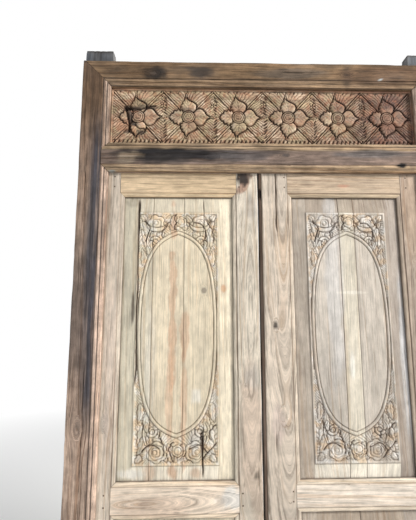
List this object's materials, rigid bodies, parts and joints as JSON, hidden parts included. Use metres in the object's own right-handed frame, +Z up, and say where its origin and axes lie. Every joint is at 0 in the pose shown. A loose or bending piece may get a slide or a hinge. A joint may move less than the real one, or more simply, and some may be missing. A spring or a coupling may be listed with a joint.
{
  "type": "carved temple door",
  "caption": "Weathered double wooden door in its pegged frame, with carved panels in the leaves and a carved panel over them.",
  "frame": {"origin": "middle of the underside of the frame, at floor level, halfway through its depth", "axes": "+Z up; +X to the right as seen from the carved front; +Y from the carved front towards the back, where the leaves open to"},
  "size_m": [1.4, 0.1, 2.34],
  "materials": {
    "frame_wood": "weathered, stained, bare",
    "carved_wood": "reddish, dusty, carved",
    "leaf_wood": "bleached by sun, bare",
    "panel_wood": "bleached by sun, carved",
    "peg_wood": "dark, bare"
  },
  "bodies": {
    "frame": {"left_jamb": "frame_wood", "right_jamb": "frame_wood", "head_rail": "frame_wood", "transom_rail": "frame_wood", "threshold": "frame_wood", "transom_panel": "carved_wood", "frame_pegs": "peg_wood"},
    "left_leaf": {"left_hinge_stile": "leaf_wood", "left_meeting_stile": "leaf_wood", "left_top_rail": "leaf_wood", "left_mid_rail": "leaf_wood", "left_bottom_rail": "leaf_wood", "left_tenon_pins": "peg_wood", "left_carved_board_1": "panel_wood", "left_carved_board_2": "panel_wood", "left_carved_board_3": "panel_wood", "left_lower_board_1": "panel_wood", "left_lower_board_2": "panel_wood"},
    "right_leaf": {"right_hinge_stile": "leaf_wood", "right_meeting_stile": "leaf_wood", "right_top_rail": "leaf_wood", "right_mid_rail": "leaf_wood", "right_bottom_rail": "leaf_wood", "right_tenon_pins": "peg_wood", "right_carved_board_1": "panel_wood", "right_carved_board_2": "panel_wood", "right_carved_board_3": "panel_wood", "right_lower_board_1": "panel_wood", "right_lower_board_2": "panel_wood", "right_meeting_bead": "leaf_wood"}
  },
  "joints": [
    {"name": "left_leaf_hinge", "type": "hinge", "parent": "frame", "child": "left_leaf", "pos_m": [-0.598, -0.0097, 0.9], "axis": [0, 0, 1], "range_deg": [0, 90]},
    {"name": "right_leaf_hinge", "type": "hinge", "parent": "frame", "child": "right_leaf", "pos_m": [0.598, -0.0097, 0.9], "axis": [0, 0, -1], "range_deg": [0, 90]}
  ]
}
